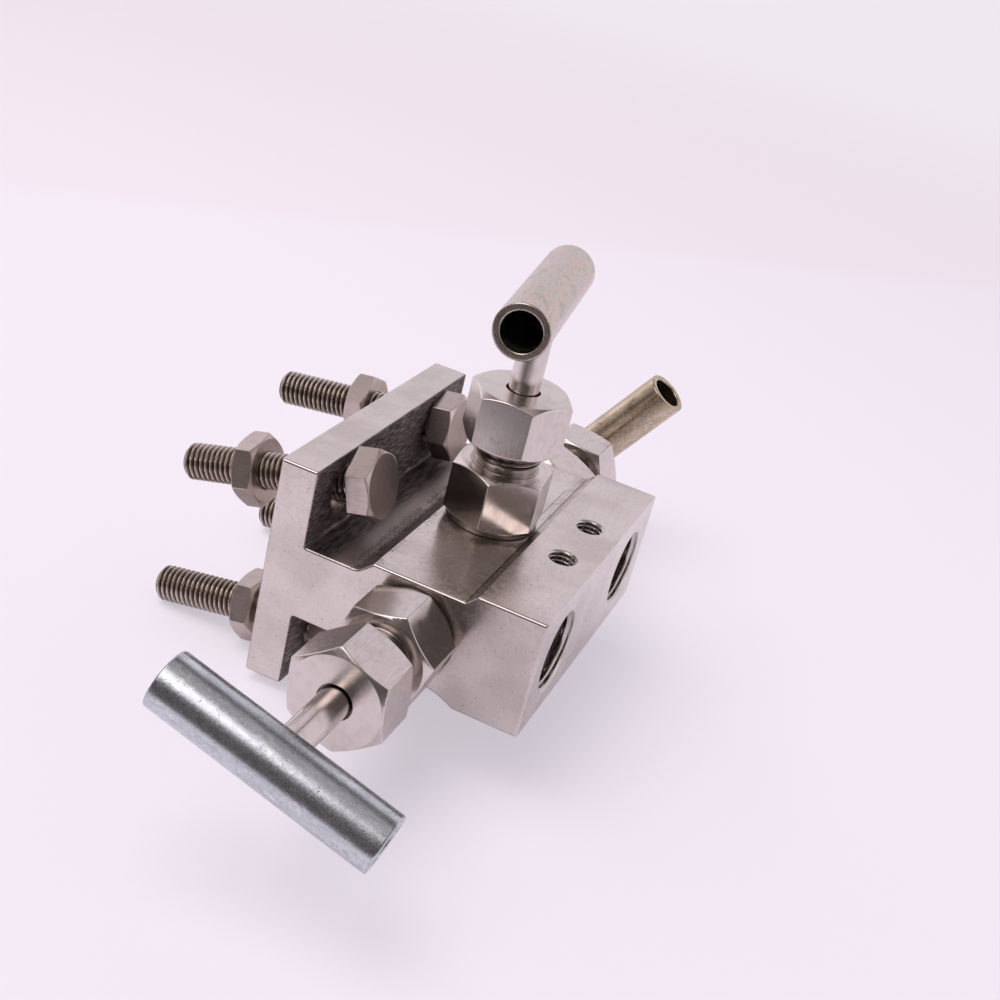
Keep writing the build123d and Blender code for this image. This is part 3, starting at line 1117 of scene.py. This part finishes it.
@dataclass
class FlangeFastener:
    """One hexagon bolt, threaded along its whole shank, and the nut on it."""

    corner: str
    tool: ThreadTool
    shank: Thread = Thread(1.5 * MM, ridge=4.95 * MM, valley=4.10 * MM)
    head_height: float = 6.4 * MM
    plain_neck: float = 1.2 * MM
    overrun: float = 1.0 * MM
    edge: float = 0.18 * MM

    def build(self) -> None:
        """Makes the bolt and the nut and puts them in the frame."""
        node = f"flange_bolt_{self.corner}"
        axle = solid_axle(node)
        if axle.direction.x > 0:
            axle = axle.turned()
        reach = axle.along(points_of(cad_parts[node].data))
        start = float(reach.min()) + self.head_height + self.plain_neck
        end = float(reach.max()) + self.overrun
        piece = Workpiece(node, self.edge)
        piece.thread(self.tool, axle.moved(end).turned(), self.shank, end - start)
        piece.hand_over(
            f"bolt_{self.corner}",
            "manifold",
            "bolt_steel",
            ThreadSteel(f"bolt_thread_{self.corner}").material(),
            TurnedSteel.rolled(f"bolt_head_{self.corner}", axle).material(),
        )
        for face in piece.thing.data.polygons:
            face.material_index = int((face.center - axle.centre).dot(axle.direction) < start)
        nut = f"flange_nut_{self.corner}"
        finish = TurnedSteel.rolled(f"nut_{self.corner}", solid_axle(nut)).material()
        Workpiece(nut, self.edge).hand_over(f"nut_{self.corner}", "manifold", "bolt_steel", finish)


# ---- studio


@dataclass(frozen=True)
class SoftBox:
    """A soft light in the surround: its direction, the cosines where it begins and is full, and its light."""

    towards: tuple[float, float, float]
    begins: float
    full: float
    light: Colour


@dataclass
class Studio:
    """A plain pale table that fades into a pale surround, soft light and the camera."""

    table: Colour = (0.868, 0.818, 0.900)
    surround: Colour = (0.868, 0.803, 0.871)
    room: Colour = (0.122, 0.105, 0.106)
    gap: float = 0.2 * MM
    rings: tuple[float, ...] = (0.5, 1.0, 1.6)
    sides: int = 64
    rim_fade: tuple[float, float] = (0.55, 1.5)
    table_edge: float = -0.20
    fold: float = 0.50
    lift: float = 0.55
    glossy_lift: float = 0.45
    backdrop_depth: tuple[float, float] = (-0.05, 0.30)
    backdrop_height: tuple[float, float] = (0.86, 0.62)
    soft_boxes: tuple[SoftBox, ...] = (
        SoftBox((-0.30, -0.55, 0.78), 0.89, 0.965, (2.25, 2.07, 2.13)),
        SoftBox((-0.05, -0.20, 0.98), 0.75, 0.93, (0.42, 0.38, 0.39)),
        SoftBox((-0.95, 0.10, 0.30), 0.75, 0.97, (0.49, 0.44, 0.45)),
        SoftBox((0.95, -0.05, 0.30), 0.80, 0.97, (0.44, 0.40, 0.42)),
    )
    lamp_place: Vector = Vector((-0.35, -0.15, 1.10))
    lamp_size: float = 0.8
    lamp_power: float = 6.7
    camera_place: Vector = Vector((134.66, -318.7, 182.93)) * MM
    look: Vector = Vector((-0.24974, 0.86137, -0.44234))
    roll: float = math.radians(14.51)
    lens: float = 50.72

    def build(self) -> None:
        """Makes the table, the world, the lamp and the camera."""
        self._table()
        self._world()
        self._lamp()
        self._camera()

    def _table(self) -> None:
        """Makes the table top, just below the object's lowest point."""
        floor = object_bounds()[0].z - self.gap
        mesh = bpy.data.meshes.new("table")
        edit = bmesh.new()
        inner = [edit.verts.new((0.0, 0.0, floor))] * self.sides
        for radius in self.rings:
            turns = [math.tau * i / self.sides for i in range(self.sides)]
            outer = [edit.verts.new((radius * math.cos(t), radius * math.sin(t), floor)) for t in turns]
            for i in range(self.sides):
                j = (i + 1) % self.sides
                edit.faces.new(dict.fromkeys((inner[i], outer[i], outer[j], inner[j])))
            inner = outer
        edit.to_mesh(mesh)
        edit.free()
        mesh.materials.append(self._table_finish())
        placed("table", mesh)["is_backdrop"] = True

    def _table_finish(self) -> Material:
        """The table's matt finish, clear at its rim so that the surround shows.

        Returns:
            The material.
        """
        paint = Paint("table_top")
        across, deep, _ = paint.parts(paint.place)
        distance = (across * across + deep * deep).call("SQRT")
        behind = (deep - across).ramp(self.fold - 0.02, self.fold + 0.03)
        shade = paint.mix(behind, self.table, self.surround)
        glossy = paint.value("ShaderNodeLightPath", output="Is Glossy Ray")
        seen = paint.value("ShaderNodeLightPath", output="Is Camera Ray")
        in_front = deep.ramp(self.table_edge + 0.03, self.table_edge - 0.03)
        felt = paint.mix(glossy * in_front, shade, self.room)
        lifted = (seen + glossy * (1.0 - in_front) * self.glossy_lift).clamped() * self.lift
        surface = paint.add("ShaderNodeBsdfDiffuse", None, {"Color": felt})
        glow = paint.add("ShaderNodeEmission", None, {"Color": shade})
        clear = paint.add("ShaderNodeBsdfTransparent")
        for share, over in ((lifted, glow), (distance.ramp(*self.rim_fade), clear)):
            sockets = {0: share, 1: surface.outputs[0], 2: over.outputs[0]}
            surface = paint.add("ShaderNodeMixShader", None, sockets)
        paint.add("ShaderNodeOutputMaterial", None, {"Surface": surface.outputs[0]})
        return paint.material

    def _world(self) -> None:
        """The surround: pale to the eye; to the metal, a pale backdrop, soft boxes and a dim warm room."""
        world = bpy.data.worlds.new("studio")
        bpy.context.scene.world = world
        world.use_nodes = True
        nodes = Nodes(world.node_tree)
        way = nodes.vector("NORMALIZE", nodes.value("ShaderNodeTexCoord", output="Generated"))
        _, deep, up = nodes.parts(way)
        backdrop = deep.ramp(*self.backdrop_depth) * up.ramp(*self.backdrop_height)
        shade = nodes.mix(backdrop, self.room, self.surround)
        for box in self.soft_boxes:
            towards = tuple(Vector(box.towards).normalized())
            share = nodes.vector("DOT_PRODUCT", way, towards, output="Value").ramp(box.begins, box.full)
            shade = nodes.vector("ADD", shade, nodes.scaled(box.light, share))
        seen = nodes.value("ShaderNodeLightPath", output="Is Camera Ray")
        shade = nodes.mix(seen, shade, self.surround)
        sky = nodes.add("ShaderNodeBackground", None, {"Color": shade})
        nodes.add("ShaderNodeOutputWorld", None, {"Surface": sky.outputs[0]})

    def _lamp(self) -> None:
        """Adds a square soft box overhead that faces the object, and that the metal doesn't mirror."""
        light = bpy.data.lights.new("overhead", "AREA")
        light.size = self.lamp_size
        light.energy = self.lamp_power
        lamp = placed("overhead", light)
        lamp.location = self.lamp_place
        lamp.rotation_mode = "QUATERNION"
        lamp.rotation_quaternion = (-self.lamp_place).to_track_quat("-Z", "Y")
        lamp.visible_glossy = False

    def _camera(self) -> None:
        """Adds the camera, rolled about the way it looks."""
        ahead = self.look.normalized()
        level = ahead.cross(Vector((0.0, 0.0, 1.0))).normalized()
        upright = level.cross(ahead)
        right = level * math.cos(self.roll) + upright * math.sin(self.roll)
        upward = right.cross(ahead)
        lens = bpy.data.cameras.new("camera")
        lens.lens = self.lens
        lens.sensor_width = 36.0
        lens.clip_start = 0.01
        camera = placed("camera", lens)
        turn = Matrix((right, upward, -ahead)).transposed().to_4x4()
        camera.matrix_world = Matrix.Translation(self.camera_place) @ turn
        bpy.context.scene.camera = camera


# ---- main

PLATING = {
    Side.NEAR: Plating(
        "clear_zinc",
        ((0.44, 0.47, 0.49), (0.61, 0.655, 0.685), (0.49, 0.53, 0.56), (0.68, 0.725, 0.755)),
        speckle=0.40,
        mottle=1.4,
    ),
    Side.FAR: Plating(
        "yellow_zinc",
        ((0.31, 0.26, 0.18), (0.52, 0.43, 0.31), (0.44, 0.37, 0.26), (0.62, 0.53, 0.41), (0.50, 0.39, 0.29)),
    ),
    Side.TOP: Plating(
        "yellow_zinc",
        ((0.41, 0.42, 0.36), (0.57, 0.50, 0.41), (0.64, 0.49, 0.44), (0.48, 0.49, 0.45), (0.60, 0.53, 0.45)),
    ),
}
CORNERS = ("near_top", "far_top", "near_bottom", "far_bottom")


def main() -> None:
    """Builds the object's pieces, then the studio, and sets the Standard view transform."""
    logging.basicConfig(level=logging.INFO, format="%(name)s: %(message)s")
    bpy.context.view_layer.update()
    tool = ThreadTool()
    PortBlock(tool).build()
    for side in Side:
        ValveStation(side, tool, PLATING[side]).build()
    for corner in CORNERS:
        FlangeFastener(corner, tool).build()
    Studio().build()
    bpy.context.scene.view_settings.view_transform = "Standard"


if __name__ == "__main__":
    main()
